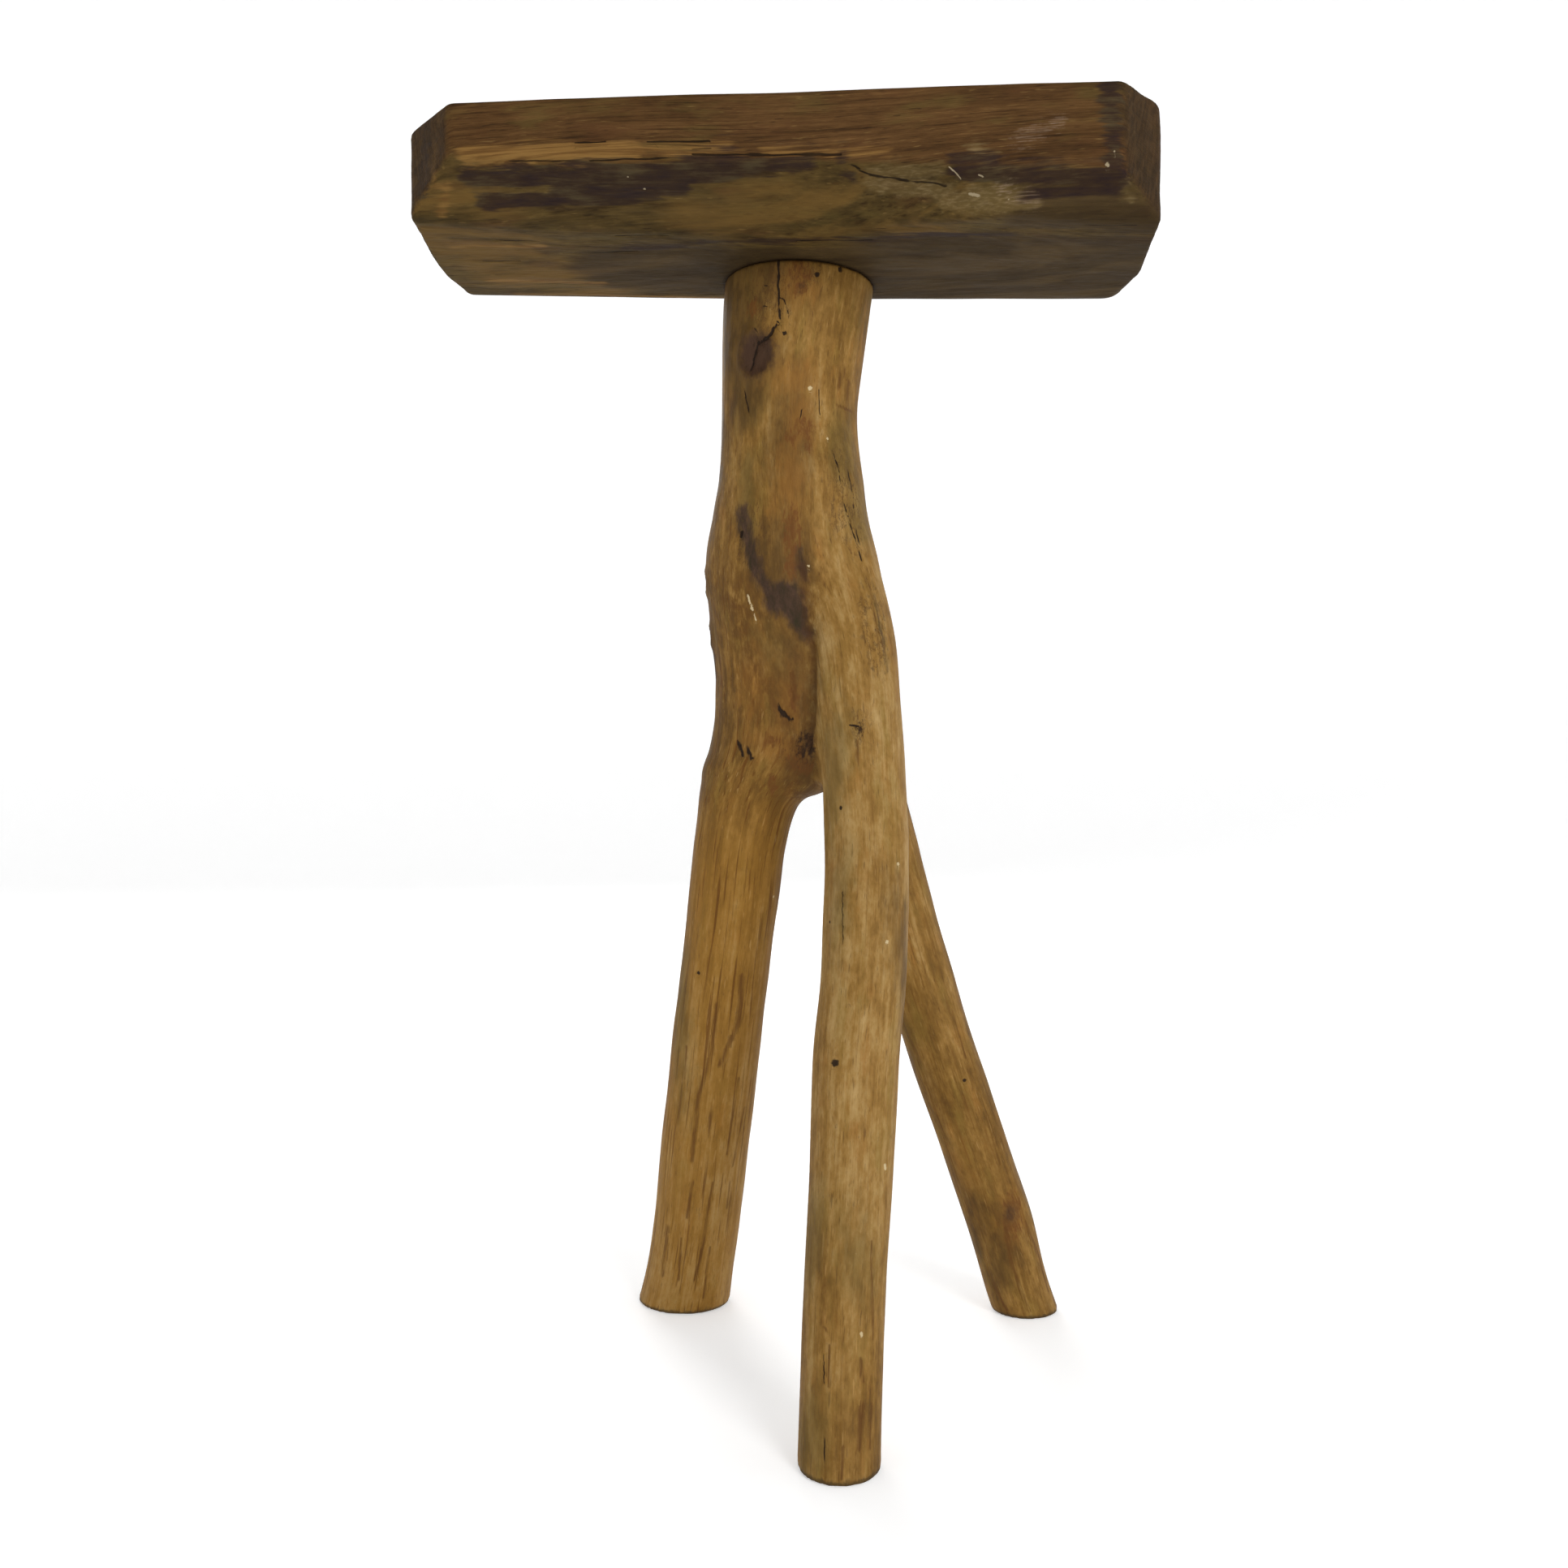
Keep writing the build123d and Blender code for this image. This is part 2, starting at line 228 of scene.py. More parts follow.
# Fine marks: a line and its width, or one point and how wide it is. Crack and fissure
# look alike, and so do hatch and scratch, so lines near each other can be of two kinds.
BRANCH_FINE = {
    "crack": (
        (((-2, 13, 425), (-2.6, 13, 412), (-2.3, 13, 404), (-2, 12, 397)), 0.9),
        (((-2, 12, 397), (-4.7, 12.6, 395), (-5.7, 13, 392), (-8, 14, 391.3), (-11.5, 15.2, 390.3),
          (-13.5, 16.3, 385), (-13.6, 17.5, 380)), 1.2),
        (((-15.8, 19.8, 374), (-15.2, 18.6, 369), (-13.6, 17.4, 363)), 0.7),
        (((23.3, -21.9, 181.4), (23.5, -28.5, 162.5)), 0.35),
        (((18.8, -74.5, 39.5), (19.4, -86, 18), (19.9, -93, 2.6)), 0.45),
        (((-17.6, 19.5, 236.5), (-16.4, 18.5, 231)), 1.7),
        (((-1.5, 15.5, 250), (-0.4, 15, 247), (2.5, 14.5, 244.5)), 2.1),
        (((14, 66, 396), (12, 66, 372), (13, 65, 352)), 0.6),
        (((-50, 84, 60), (-44, 80, 96)), 0.5), (((104, 80, 10), (92, 80, 52)), 0.5),
        (((-2, 42, 461), (-12, 38, 461)), 0.5), (((9, 44, 461), (17, 50, 461)), 0.5),
        (((17, 18, 349), (20, 18, 340), (19, 18, 333), (23, 17, 322), (27, 16, 312), (31, 13, 303)), 0.6),
        (((22, 28, 200), (20, 28, 190)), 0.4),
    ),
    "fissure": (
        (((-3, 15, 398), (-0.5, 15, 395)), 0.6), (((-9, 15, 412), (-4, 15, 411)), 0.4),
        (((-8, 16, 404), (-3, 15, 402.5)), 0.4),
        (((-2.4, 14, 407), (0, 14, 405.6), (1.5, 14, 400)), 0.5),
        (((-11, 17, 396), (-8, 16, 391)), 0.4), (((-14.4, 18, 234.5), (-12.4, 17.2, 230)), 1.9),
        (((7, 14, 366), (5, 14, 358)), 0.5),
        (((24, 20, 346), (26, 20, 332), (25, 19, 322), (30, 15, 308)), 0.6),
        (((13, 16, 372), (13.5, 16, 362)), 0.4),
    ),
    "hole": (
        (((12, 14.5, 415.4),), 1.9), (((21.2, 17.4, 418.6),), 2.0), (((0, 15, 393),), 1.9),
        (((-36.2, 32, 144.3),), 1.6), (((21.5, -42.4, 122.9),), 2.8), (((18.6, -21.3, 169.9),), 1.1),
        (((22.1, -12.2, 211),), 1.5),
        (((70.2, 51.3, 99.3),), 1.6), (((-6, 68, 388),), 1.8),
        (((4, 66, 330),), 1.8), (((-30, 70, 178),), 1.6), (((84, 82, 60),), 1.6),
        (((-16.8, 11.5, 316.6), (-17, 11.5, 315)), 1.4), (((25.5, -8, 241.5), (29, -8.5, 241)), 0.8),
        (((10, 20, 421), (13, 20, 420)), 0.9), (((48, 56, 150),), 1.0),
    ),
    "speck": (
        (((9.2, 15.7, 372.2),), 1.7), (((44, -15.3, 190.8),), 1.4), (((39.1, -27.5, 163.4),), 1.4),
        (((-6.2, 35.4, 174.6),), 1.2), (((38.6, -48.7, 89.4), (38.6, -48.7, 88.2)), 1.3),
        (((16.4, 16, 353),), 1.0), (((31, -73, 41), (30.6, -73, 39)), 0.9), (((28, -60, 62),), 0.9),
        (((-13.3, 13.5, 292.5), (-12.6, 13.4, 290)), 0.9),
        (((-12, 13.3, 288.6), (-11.8, 13.3, 287)), 1.1),
        (((-11, 13.3, 285.4), (-10.4, 13.3, 282.6)), 0.7), (((9, 12, 303),), 1.0),
    ),
    "hatch": (
        (((31, 14, 300), (34, 9, 288), (35.5, 5, 272)), 1.0),
        (((28.8, -8, 247), (28, -8.5, 240)), 0.9),
        (((39, 6, 284), (40, 2, 262)), 1.0), (((28.4, -9, 236), (28.6, -10, 226)), 1.2),
        (((3, 14, 262), (4, 14, 252)), 2.0), (((-14, 24, 190), (-15, 25, 170)), 0.9),
        (((-8, 30, 170), (-11, 33, 140)), 1.0),
        (((-18.6, 32, 143), (-20.2, 35.4, 125), (-27.8, 36.2, 107)), 2.4),
        (((-32, 41, 94), (-33, 42, 77)), 1.5), (((-19, 47, 88), (-24, 49, 63)), 0.9),
        (((-32, 45, 57), (-36.5, 50, 30), (-40, 52, 15)), 1.1),
        (((-25.4, 50, 57), (-27, 52, 45)), 0.9),
        (((-45.4, 49, 33), (-47, 52, 15)), 1.0), (((-42, 38, 114), (-43, 40, 100)), 0.9),
        (((64, 52, 128), (70, 53, 108)), 0.8), (((78, 56, 84), (84, 57, 64)), 0.8),
        (((87, 55.5, 38), (89.6, 56.3, 26), (93, 57.4, 12), (97, 58, 4)), 1.8),
        (((21.2, 22, 379.3), (20.5, 22, 374)), 1.9), (((19.5, 22, 367), (25.4, 30, 366.4)), 1.3),
        (((18.6, -74, 43), (20.6, -74.5, 41.4)), 1.0),
        (((34.4, -61.3, 67), (35.1, -71.7, 38)), 1.0), (((31, -77, 33.4), (31.8, -79, 27.7)), 1.6),
        (((31.6, -82, 21.4), (31.2, -88, 10)), 2.2), (((25.9, -89.5, 10.6), (25.5, -93.7, 2.6)), 1.0),
    ),
    "scratch": (
        (((24.5, 27, 377), (23.6, 26.2, 371.2)), 2.0), (((22.4, 24.3, 382), (22, 24.3, 379)), 1.2),
        (((-28.3, 32, 132), (-32, 35.6, 109), (-37, 38.4, 94), (-40, 42.8, 67)), 2.0),
        (((-21, 41, 101), (-26, 45.6, 69)), 1.1), (((-33.6, 51, 29), (-37, 55, 7)), 1.0),
        (((-51.5, 51.6, 37), (-54, 54.5, 16)), 2.2), (((-40, 44.3, 58), (-42.8, 47.2, 42)), 1.2),
        (((95.5, 60, 40), (102, 64.5, 23), (105.6, 65.3, 10)), 1.4),
        (((82.7, 60.6, 14), (88.6, 60, 2)), 1.6),
        (((21, -76.3, 37.6), (21, -81.4, 26.4)), 0.9),
        (((34.7, -79.7, 20.5), (34.3, -85.6, 9.2)), 1.2),
    ),
}

# Marks on the seat
SEAT_STROKES = {
    "golden": (
        (((-108, -44, 440), (-75, -45, 440.5), (-48, -45, 440)), 7.0),
        (((-50, -45, 441.5), (-16, -45, 441)), 2.2), (((-50, -45, 438), (-10, -45, 438)), 2.2),
        (((-4, -45, 438.8), (40, -45, 437.4)), 1.6), (((-118, -34, 436), (-124, -20, 431)), 2.4),
        (((-122, -38, 448), (-124, -36, 434)), 2.2), (((-128, 4, 427), (-92, 2, 426)), 2.0),
        (((-122, 38, 428), (-76, 40, 427)), 3.0), (((-115, 55, 425), (10, 57, 422)), 2.4),
        (((-100, 97, 452), (-30, 97, 450)), 5.0), (((-120, -40, 461), (120, -40, 461)), 4.0),
    ),
    "stain": (
        (((-108, -36, 436), (-60, -38, 435.5), (-16, -40, 436)), 11.0),
        (((-106, -27, 431), (-64, -27, 431), (-44, -29, 431.5)), 7.0),
        (((-30, -40, 434.5), (12, -43, 434.5)), 5.5), (((-78, -31, 432), (-36, -33, 432.5)), 11.0),
        (((-36, -45, 437), (-4, -45, 436.5)), 2.6), (((24, -44, 434), (28, -38, 431)), 2.5),
        (((64, -43, 430.5), (90, -42, 429.5), (119, -41, 428)), 7.0),
        (((62, -45, 434), (76, -45, 433)), 4.0),
        (((88, -37, 427), (118, -36, 426)), 5.0),
        (((115, -45, 462), (116.5, -44, 430)), 6.5), (((-131, -38, 460), (-131, -30, 436)), 7.0),
        (((-58, 4, 425), (-22, -2, 424), (24, -7, 422), (84, -13, 420)), 4.0),
        (((40, 60, 461), (90, 66, 461)), 9.0), (((-90, 97, 446), (-40, 97, 446)), 7.0),
    ),
    "pale": (
        (((35, -41.5, 431.5), (44, -42, 431.5), (57, -42, 431)), 5.5),
        (((36, -37, 429), (60, -36, 428)), 8.0),
        (((62, -32, 425.6), (76, -33, 425.4), (88, -34, 425)), 9.0),
        (((70, -45, 437), (74, -45, 434)), 4.5),
        (((121, -38, 427), (124, -34, 424)), 3.5), (((-99, -28.5, 431.7), (-90, -28.5, 431.4)), 1.6),
    ),
    "haze": (
        (((85, -45, 440), (91, -45, 443)), 4.0), (((93, -45, 443.5), (98, -45, 446)), 2.6),
        (((80, -38, 427), (90, -32, 425)), 5.0),
    ),
    "shade": (
        (((40, 46, 420), (120, 40, 418)), 108.0), (((-62, 26, 424), (0, 24, 422)), 48.0),
        (((92, -30, 425), (126, -24, 422)), 24.0), (((124, -42, 458), (130, -32, 430)), 18.0),
    ),
    "warm": (
        (((-122, -14, 430), (-90, 46, 427)), 52.0), (((-120, 57, 426), (0, 57, 423)), 8.0),
        (((-14, -30, 428), (52, -28, 426)), 18.0), (((34, -34, 428), (62, -34, 427)), 12.0),
        (((-30, -18, 425), (60, -18, 423)), 18.0),
    ),
}
SEAT_FINE = {
    "crack": (
        (((-112, -43.5, 437.6), (-64, -44, 437.2), (-34, -45, 437.6)), 0.6),
        (((-28, -45, 438.4), (24, -45, 437.2)), 0.8), (((-70, -45, 444), (-58, -45, 444)), 0.5),
        (((27, -44, 434), (33, -40, 431), (48, -38, 429.4), (60, -37, 428.4)), 1.1),
        (((-62, -8, 425), (-42, -8, 424.6)), 0.9), (((-110, -2, 426), (-92, -2, 426)), 0.6),
        (((6, -5, 422.4), (34, -6, 421.6)), 0.7), (((-120, 18, 427), (-104, 18, 426)), 0.7),
        (((90, -22, 421), (128, -22, 419)), 0.6), (((-44, -45, 443.5), (-22, -45, 443)), 0.6),
        (((-80, 8, 425), (-56, 7, 424)), 0.6), (((30, -16, 424), (58, -18, 423)), 0.5),
        (((88, 20, 461), (138, 22, 461)), 0.6), (((-138, 40, 461), (-100, 42, 461)), 0.7),
        (((-100, 97, 448), (-20, 97, 449)), 0.5), (((-40, -20, 461), (30, -17, 461)), 0.4),
    ),
    "speck": (
        (((114.4, -45, 430.5),), 1.3), (((-47, -32, 432),), 0.9), (((-52, -37, 435),), 0.7),
        (((82, -34, 425),), 0.8), (((116.6, -45, 435),), 0.7), (((-24, 55, 424),), 0.8),
        (((60.5, -44.5, 431.7), (63, -42.6, 430.4), (65, -40.4, 429)), 0.5),
        (((68, -35, 426.4), (71.5, -34.6, 426)), 1.4), (((71, -42, 430), (72.6, -41.4, 429.5)), 0.6),
    ),
}


# ---------------------------------------------------------------- distance fields
def smooth_min(a, b, k):
    """The lower of two fields, melted together over a width k."""
    h = np.maximum(k - np.abs(a - b), 0) / k
    return np.minimum(a, b) - h * h * k / 4


def smooth_max(a, b, k):
    """The higher of two fields: an edge worn round over a width k."""
    return -smooth_min(-a, -b, k)


def spline(stations, heights):
    """Every column of the stations at the given heights, along a smooth curve."""
    table = np.array(stations, float)[::-1]
    knots = table[:, 2]
    slopes = np.gradient(table, knots, axis=0)
    i = np.clip(np.searchsorted(knots, heights) - 1, 0, len(knots) - 2)
    span = (knots[i + 1] - knots[i])[:, None]
    t = np.clip((heights - knots[i]) / span[:, 0], 0, 1)[:, None]
    return (
        (2 * t**3 - 3 * t**2 + 1) * table[i]
        + (t**3 - 2 * t**2 + t) * span * slopes[i]
        + (3 * t**2 - 2 * t**3) * table[i + 1]
        + (t**3 - t**2) * span * slopes[i + 1]
    )


class Limb:
    """One limb: a centre line and a radius that change with height, round at its ends."""

    def __init__(self, stations):
        self.heights = np.arange(stations[-1][2], stations[0][2] + 1, 1.0)
        values = spline(stations, self.heights)
        self.x, self.y, self.radius = values[:, 0], values[:, 1], values[:, 3]
        lean = np.stack([np.gradient(self.x), np.gradient(self.y)], 1)
        self.lean = lean / np.sqrt(1 + (lean**2).sum(1))[:, None]

    def at(self, z, values):
        return np.interp(z, self.heights, values)

    def offsets(self, x, y, z):
        """How far the points are from the centre line, across the stool and front to back."""
        return x - self.at(z, self.x), y - self.at(z, self.y)

    def distance(self, x, y, z):
        dx, dy = self.offsets(x, y, z)
        along = dx * self.at(z, self.lean[:, 0]) + dy * self.at(z, self.lean[:, 1])
        beyond = np.maximum(self.heights[0] - z, 0) + np.maximum(z - self.heights[-1], 0)
        across = np.sqrt(np.maximum(dx * dx + dy * dy - along * along, 0) + beyond * beyond)
        return across - self.at(z, self.radius)


LIMBS = {
    "trunk": Limb(TRUNK),
    "left": Limb(LEFT_LEG),
    "front": Limb(FRONT_LEG),
    "right": Limb(RIGHT_LEG),
}


def left_leg_melt(z):
    """The left leg runs softly into the trunk, and most softly where the crotch is webbed."""
    return np.interp(z, (205, 222, 240, 262), (13, 22, 20, 13))


def front_leg_melt(z):
    """The front leg lies against the fork with a crease, and grows out of it above and below."""
    return np.interp(z, (196, 212, 222, 236, 250, 290, 312, 340), (6, 14, 20, 14, 4, 4, 9, 14))


def tenon_radius(x, y):
    return np.hypot(x - TENON_X, y - TENON_Y)


def wedge_field(x, y, z):
    """The space the wedge takes, ends rounded to the bore."""
    share = (z - WEDGE_LOW[2]) / (WEDGE_HIGH[2] - WEDGE_LOW[2])
    thickness = WEDGE_TIP + (WEDGE_TOP - WEDGE_TIP) * np.clip(share, 0, 1)
    sides = np.abs(x - TENON_X) - thickness / 2
    ends = tenon_radius(x, y) - (TENON_R - TENON_GAP)
    return np.maximum(np.maximum(sides, ends), WEDGE_LOW[2] - z)


def seat_blank_field(x, y, z):
    """The slab without its bore: faces, bevels and corners, with worn edges."""
    run = x / HALF_LENGTH
    sag = np.clip((y + 20) / 60, 0, 1) * np.interp(run, (-1, 0, 1), SAG)
    underside = UNDERSIDE - UNDERSIDE_TILT * run - sag
    front_edge = (FRONT_FACE_LEFT * (1 - run) + FRONT_FACE_RIGHT * (1 + run)) / 2
    front_bevel_end = np.interp(x, *FRONT_BEVEL)
    front_share = (y - FRONT) / (front_bevel_end - FRONT)
    back_share = (BACK - y) / (BACK - BACK_BEVEL)
    back_edge = BACK_FACE - UNDERSIDE_TILT * run
    front_bevel = front_edge + (underside - front_edge) * front_share
    back_bevel = back_edge + (underside - back_edge) * back_share
    floor = smooth_max(smooth_max(underside, front_bevel, 2.0), back_bevel, 2.0)
    field = smooth_max((floor - z) * BEVEL_SLANT, z - TOP, WORN_EDGE)
    field = smooth_max(field, FRONT - y, WORN_EDGE)
    field = smooth_max(field, y - BACK, WORN_EDGE)
    bulge = np.interp(x, (-1, 1), BULGE) * np.exp(-(((y - BULGE_Y) / BULGE_SPREAD) ** 2))
    end_at = HALF_LENGTH + END_SPARE + bulge
    end_wear = WORN_EDGE + np.interp(x, (-1, 1), (0, 8)) * np.clip((y - 30) / 25, 0, 1)
    field = smooth_max(field, np.abs(x) - end_at, end_wear)
    for side, edge, cut_x, cut_y, wear in CORNERS:
        past_end = side * x - HALF_LENGTH - END_SPARE
        past_edge = y - BACK if edge > 0 else FRONT - y
        corner = (past_end * cut_y + past_edge * cut_x + cut_x * cut_y) / math.hypot(cut_x, cut_y)
        field = smooth_max(field, corner, wear)
    return field


def seat_field(x, y, z):
    return smooth_max(seat_blank_field(x, y, z), TENON_R - tenon_radius(x, y) + 0 * z, 1.0)


def branch_field(x, y, z):
    """Trunk, three legs and tenon, with the shoulder scribed to the seat."""
    trunk = LIMBS["trunk"].distance(x, y, z)
    body = smooth_min(trunk, LIMBS["left"].distance(x, y, z), left_leg_melt(z))
    body = smooth_min(body, LIMBS["right"].distance(x, y, z), LEG_MELT)
    body = smooth_min(body, LIMBS["front"].distance(x, y, z), front_leg_melt(z))
    body = smooth_max(body, -z, FOOT_EDGE)
    body = np.maximum(body, z - UNDERSIDE - 2 * UNDERSIDE_TILT)
    body = smooth_max(body, -seat_blank_field(x, y, z) - TENON_GAP, 1.0)
    tenon = np.maximum(tenon_radius(x, y) - (TENON_R - TENON_GAP), TOP - TENON_LENGTH - z)
    tenon = smooth_max(tenon, z - TOP - TENON_PROUD, 1.0)
    tenon = np.maximum(tenon, -wedge_field(x, y, z))
    return np.minimum(body, tenon)


def wedge_piece_field(x, y, z):
    return smooth_max(wedge_field(x, y, z) + TENON_GAP, z - TOP - TENON_PROUD, 0.8)


def flattened(p, field, centre):
    """Offsets from a mark's centre, squashed against the surface so that the mark lies on it."""
    normal = field_normals(field, centre[None])[0]
    offset = p - centre
    depth = offset @ normal
    kept = MARK_SQUASH * depth + np.sign(depth) * np.maximum(np.abs(depth) - MARK_DEPTH, 0)
    return offset - np.outer(depth - kept, normal)


def stroke_distance(p, field, points, width):
    """Distance from a run of points, less half the stroke's width."""
    best = np.full(len(p), np.inf)
    for a, b in zip(np.array(points[:-1], float), np.array(points[1:], float)):
        half = (b - a) / 2
        offset = flattened(p, field, (a + b) / 2)
        along = np.clip(offset @ half / (half @ half), -1, 1)
        best = np.minimum(best, np.linalg.norm(offset - np.outer(along, half), axis=1))
    return best - width / 2


def fine_offsets(p, field, strokes):
    """The way from the nearest fine mark's middle to each point, in half widths of the mark.

    It changes sign across the mark, so between two points of the mesh it runs through
    zero, and even a crack much thinner than a mesh face is drawn sharp.
    """
    nearest = np.full(len(p), np.inf)
    result = np.tile(FINE_FAR, (len(p), 1))
    for line, width in strokes:
        line = np.array(line, float)
        starts, ends = (line[:-1], line[1:]) if len(line) > 1 else (line, line)
        for a, b in zip(starts, ends):
            half = (b - a) / 2
            offset = flattened(p, field, (a + b) / 2)
            along = np.clip(offset @ half / max(half @ half, 1e-9), -1, 1)
            across = offset - np.outer(along, half)
            distance = np.linalg.norm(across, axis=1)
            closer = distance < np.minimum(nearest, max(FINE_REACH, width))
            nearest[closer] = distance[closer]
            result[closer] = across[closer] / (width / 2)
    return result


def spot_distance(p, field, centre, size):
    """About how far the points are outside an ellipsoid."""
    size = np.array(size, float)
    offset = flattened(p, field, np.array(centre, float))
    return (np.linalg.norm(offset / size, axis=1) - 1) * np.sort(size)[1]


# ---------------------------------------------------------------- meshes
def field_mesh(name, field, low, high, voxel):
    """An even mesh of the field's surface, its points moved exactly onto it."""
    margin = 3 * voxel
    x, y, z = (np.arange(a - margin, b + margin, voxel) for a, b in zip(low, high))
    layers = [
        field(x[:, None, None], y[None, :, None], z[None, None, i:i + SLICE]) / voxel
        for i in range(0, len(z), SLICE)
    ]
    values = np.clip(np.concatenate(layers, axis=2), -BAND, BAND).astype(np.float32)
    grid = openvdb.FloatGrid(BAND)
    grid.copyFromArray(values)
    points, _, quads = grid.convertToPolygons(isovalue=0.0, adaptivity=0.0)
    points = points.astype(float) * voxel + np.array([x[0], y[0], z[0]])
    for _ in range(2):
        points -= field(*points.T)[:, None] * field_normals(field, points)
    mesh = bpy.data.meshes.new(name)
    mesh.from_pydata((points * MM).tolist(), [], quads.tolist())
    mesh.polygons.foreach_set("use_smooth", [True] * len(mesh.polygons))
    mesh.validate()
    return mesh, points


def field_normals(field, points):
    step = 0.3
    slope = np.stack([
        field(*(points + offset).T) - field(*(points - offset).T)
        for offset in np.eye(3) * step
    ], 1)
    return slope / np.maximum(np.linalg.norm(slope, axis=1)[:, None], 1e-9)


def noise_at(points, scale, seed):
    """Smooth noise from -1 to 1; scale is how many waves a millimetre holds along each axis."""
    shift = Vector((seed * 17.3, seed * 5.1, seed * 11.7))
    scaled = points * np.array(scale)
    return np.array([noise.noise(Vector(p) + shift) for p in scaled])


def move_points(mesh, points):
    mesh.vertices.foreach_set("co", (points * MM).astype(np.float32).ravel())
    mesh.update()


def store(mesh, name, values):
    """Keeps one number, or one vector, for each point of the mesh."""
    vector = values.ndim == 2
    attribute = mesh.attributes.new(name, "FLOAT_VECTOR" if vector else "FLOAT", "POINT")
    attribute.data.foreach_set("vector" if vector else "value", values.astype(np.float32).ravel())


def groove(offsets, reach):
    """From 1 in the middle of a fine mark to 0 at reach half widths from it."""
    return np.clip(1 - np.linalg.norm(offsets, axis=1) / reach, 0, 1)


def mark_fields(points, field, spots, strokes):
    """For each kind of mark, how far every point is outside the nearest one."""
    fields = {}
    for kind in sorted({*spots, *strokes}):
        near = [spot_distance(points, field, *spot) for spot in spots.get(kind, ())]
        near += [stroke_distance(points, field, *stroke) for stroke in strokes.get(kind, ())]
        fields[kind] = np.clip(np.min(near, axis=0), -20, 20)
    return fields


def add_piece(name, mesh, material, node):
    piece = bpy.data.objects.new(name, mesh)
    bpy.context.scene.collection.objects.link(piece)
    mesh.materials.append(material)
    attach(piece, "root")
    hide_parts(node)
    return piece


def limb_shares(points):
    """How much each point belongs to each limb, from 0 to 1."""
    reach = 4.0
    depth = np.stack([limb.distance(*points.T) for limb in LIMBS.values()], 1)
    weight = np.exp(-(depth - depth.min(1)[:, None]) / reach)
    return weight / weight.sum(1)[:, None]


def limb_roots():
    """Where each limb is at the height where they grow together, so that the grain runs on."""
    return np.array([(limb.at(JOIN, limb.x), limb.at(JOIN, limb.y)) for limb in LIMBS.values()])


def branch():
    mesh, points = field_mesh("forked_branch", branch_field, BRANCH_LOW, BRANCH_HIGH, VOXEL)
    normals = field_normals(branch_field, points)
    shares = limb_shares(points)
    offsets = np.stack([np.stack(limb.offsets(*points.T), 1) for limb in LIMBS.values()], 1)
    pith = (np.linalg.norm(offsets, axis=2) * shares).sum(1)
    across = ((offsets + limb_roots()) * shares[:, :, None]).sum(1)
    grain = np.column_stack([across, points[:, 2]])
    marks = mark_fields(points, branch_field, BRANCH_SPOTS, BRANCH_STROKES)
    fine = {kind: fine_offsets(points, branch_field, lines) for kind, lines in BRANCH_FINE.items()}

    wood = np.clip((UNDERSIDE - 3 - points[:, 2]) / 8, 0, 1)
    rise = 0.7 * noise_at(grain, (0.045, 0.045, 0.022), 1)
    rise += 0.28 * noise_at(grain, (0.16, 0.16, 0.05), 2)
    rise += 0.10 * noise_at(grain, (0.5, 0.5, 0.04), 3)
    rise -= 1.3 * np.clip(-marks["knot"] / 4, 0, 1) ** 0.7
    rise += 0.7 * np.exp(-(marks["knot"] / 2.2) ** 2)
    rise -= 0.8 * groove(fine["crack"], 3.0) + 0.5 * groove(fine["fissure"], 2.0)
    rise -= 0.8 * groove(fine["hole"], 1.6)
    rise -= 0.8 * np.exp(-((marks["crease"] + 1.5) / 2.0) ** 2)
    floor_fade = np.clip(points[:, 2] / 3, 0, 1)
    points = points + normals * (rise * wood * floor_fade)[:, None]
    points[:, 2] = np.maximum(points[:, 2], 0)
    move_points(mesh, points)

    trunk, left, front, right = shares.T
    upright = np.clip((np.abs(normals[:, 2]) - 0.75) / 0.2, 0, 1)
    at_ends = (points[:, 2] < 1.5) | (points[:, 2] > UNDERSIDE)
    depths = np.sort(np.stack([limb.distance(*points.T) for limb in LIMBS.values()], 1), axis=1)
    height = points[:, 2]
    # Painted shade inside the fork, strongest where two limbs meet
    fork = np.clip((height - FORK_LOW) / 8, 0, 1) * np.clip((FORK_HIGH - height) / 20, 0, 1)
    store(mesh, "grain", grain)
    store(mesh, "place", points)
    # How pale the wood is; its lower values on the right leg, the upper left leg and in the fork are
    # partly painted shade
    front_pale = front * np.interp(height, (0, 40, 110, 400), (0.35, 0.6, 0.9, 0.95))
    left_pale_and_shade = left * np.interp(height, (20, 70, 110, 150, 190, 400), (0.8, 1.0, 0.7, 0.3, 0.1, 0.15))
    right_pale_and_shade = right * np.interp(height, (0, 60, 180, 260), (0.3, 0.05, 0.3, 0.5))
    store(mesh, "pale", front_pale + left_pale_and_shade + right_pale_and_shade + 0.4 * trunk - 0.3 * fork * (1 - front))
    store(mesh, "figure", 1.0 * left + 0.45 * right + 0.3 * front + 0.1 * trunk)
    store(mesh, "yellow", left * np.clip((230 - height) / 40, 0, 1))
    store(mesh, "end", upright * at_ends)
    store(mesh, "rim", np.exp(-(height / 1.8) ** 2))
    store(mesh, "pith", pith)
    # Nearness to the seat: a dark line along the joint, painted contact shade together with grime
    store(mesh, "joint_grime_and_shade", np.clip(seat_blank_field(*points.T), 0, 20))
    # The fork mask: painted shade where the limbs meet
    store(mesh, "fork", fork * (1 - 0.8 * front) * np.exp(-(depths[:, 1] - depths[:, 0]) / 5.0))
    for kind, values in {**marks, **fine}.items():
        store(mesh, kind, values)
    return mesh


def plank_grain(points):
    """Along the plank, out from the log's middle, and round it."""
    out = np.hypot(points[:, 1] - PITH[0], points[:, 2] - PITH[1])
    around = np.arctan2(points[:, 1] - PITH[0], PITH[1] - points[:, 2]) * PITH_REACH
    wander = 3.0 * noise_at(points, (0.012, 0.02, 0.02), 7) + 0.02 * points[:, 0]
    return np.column_stack([points[:, 0], out + wander, around])


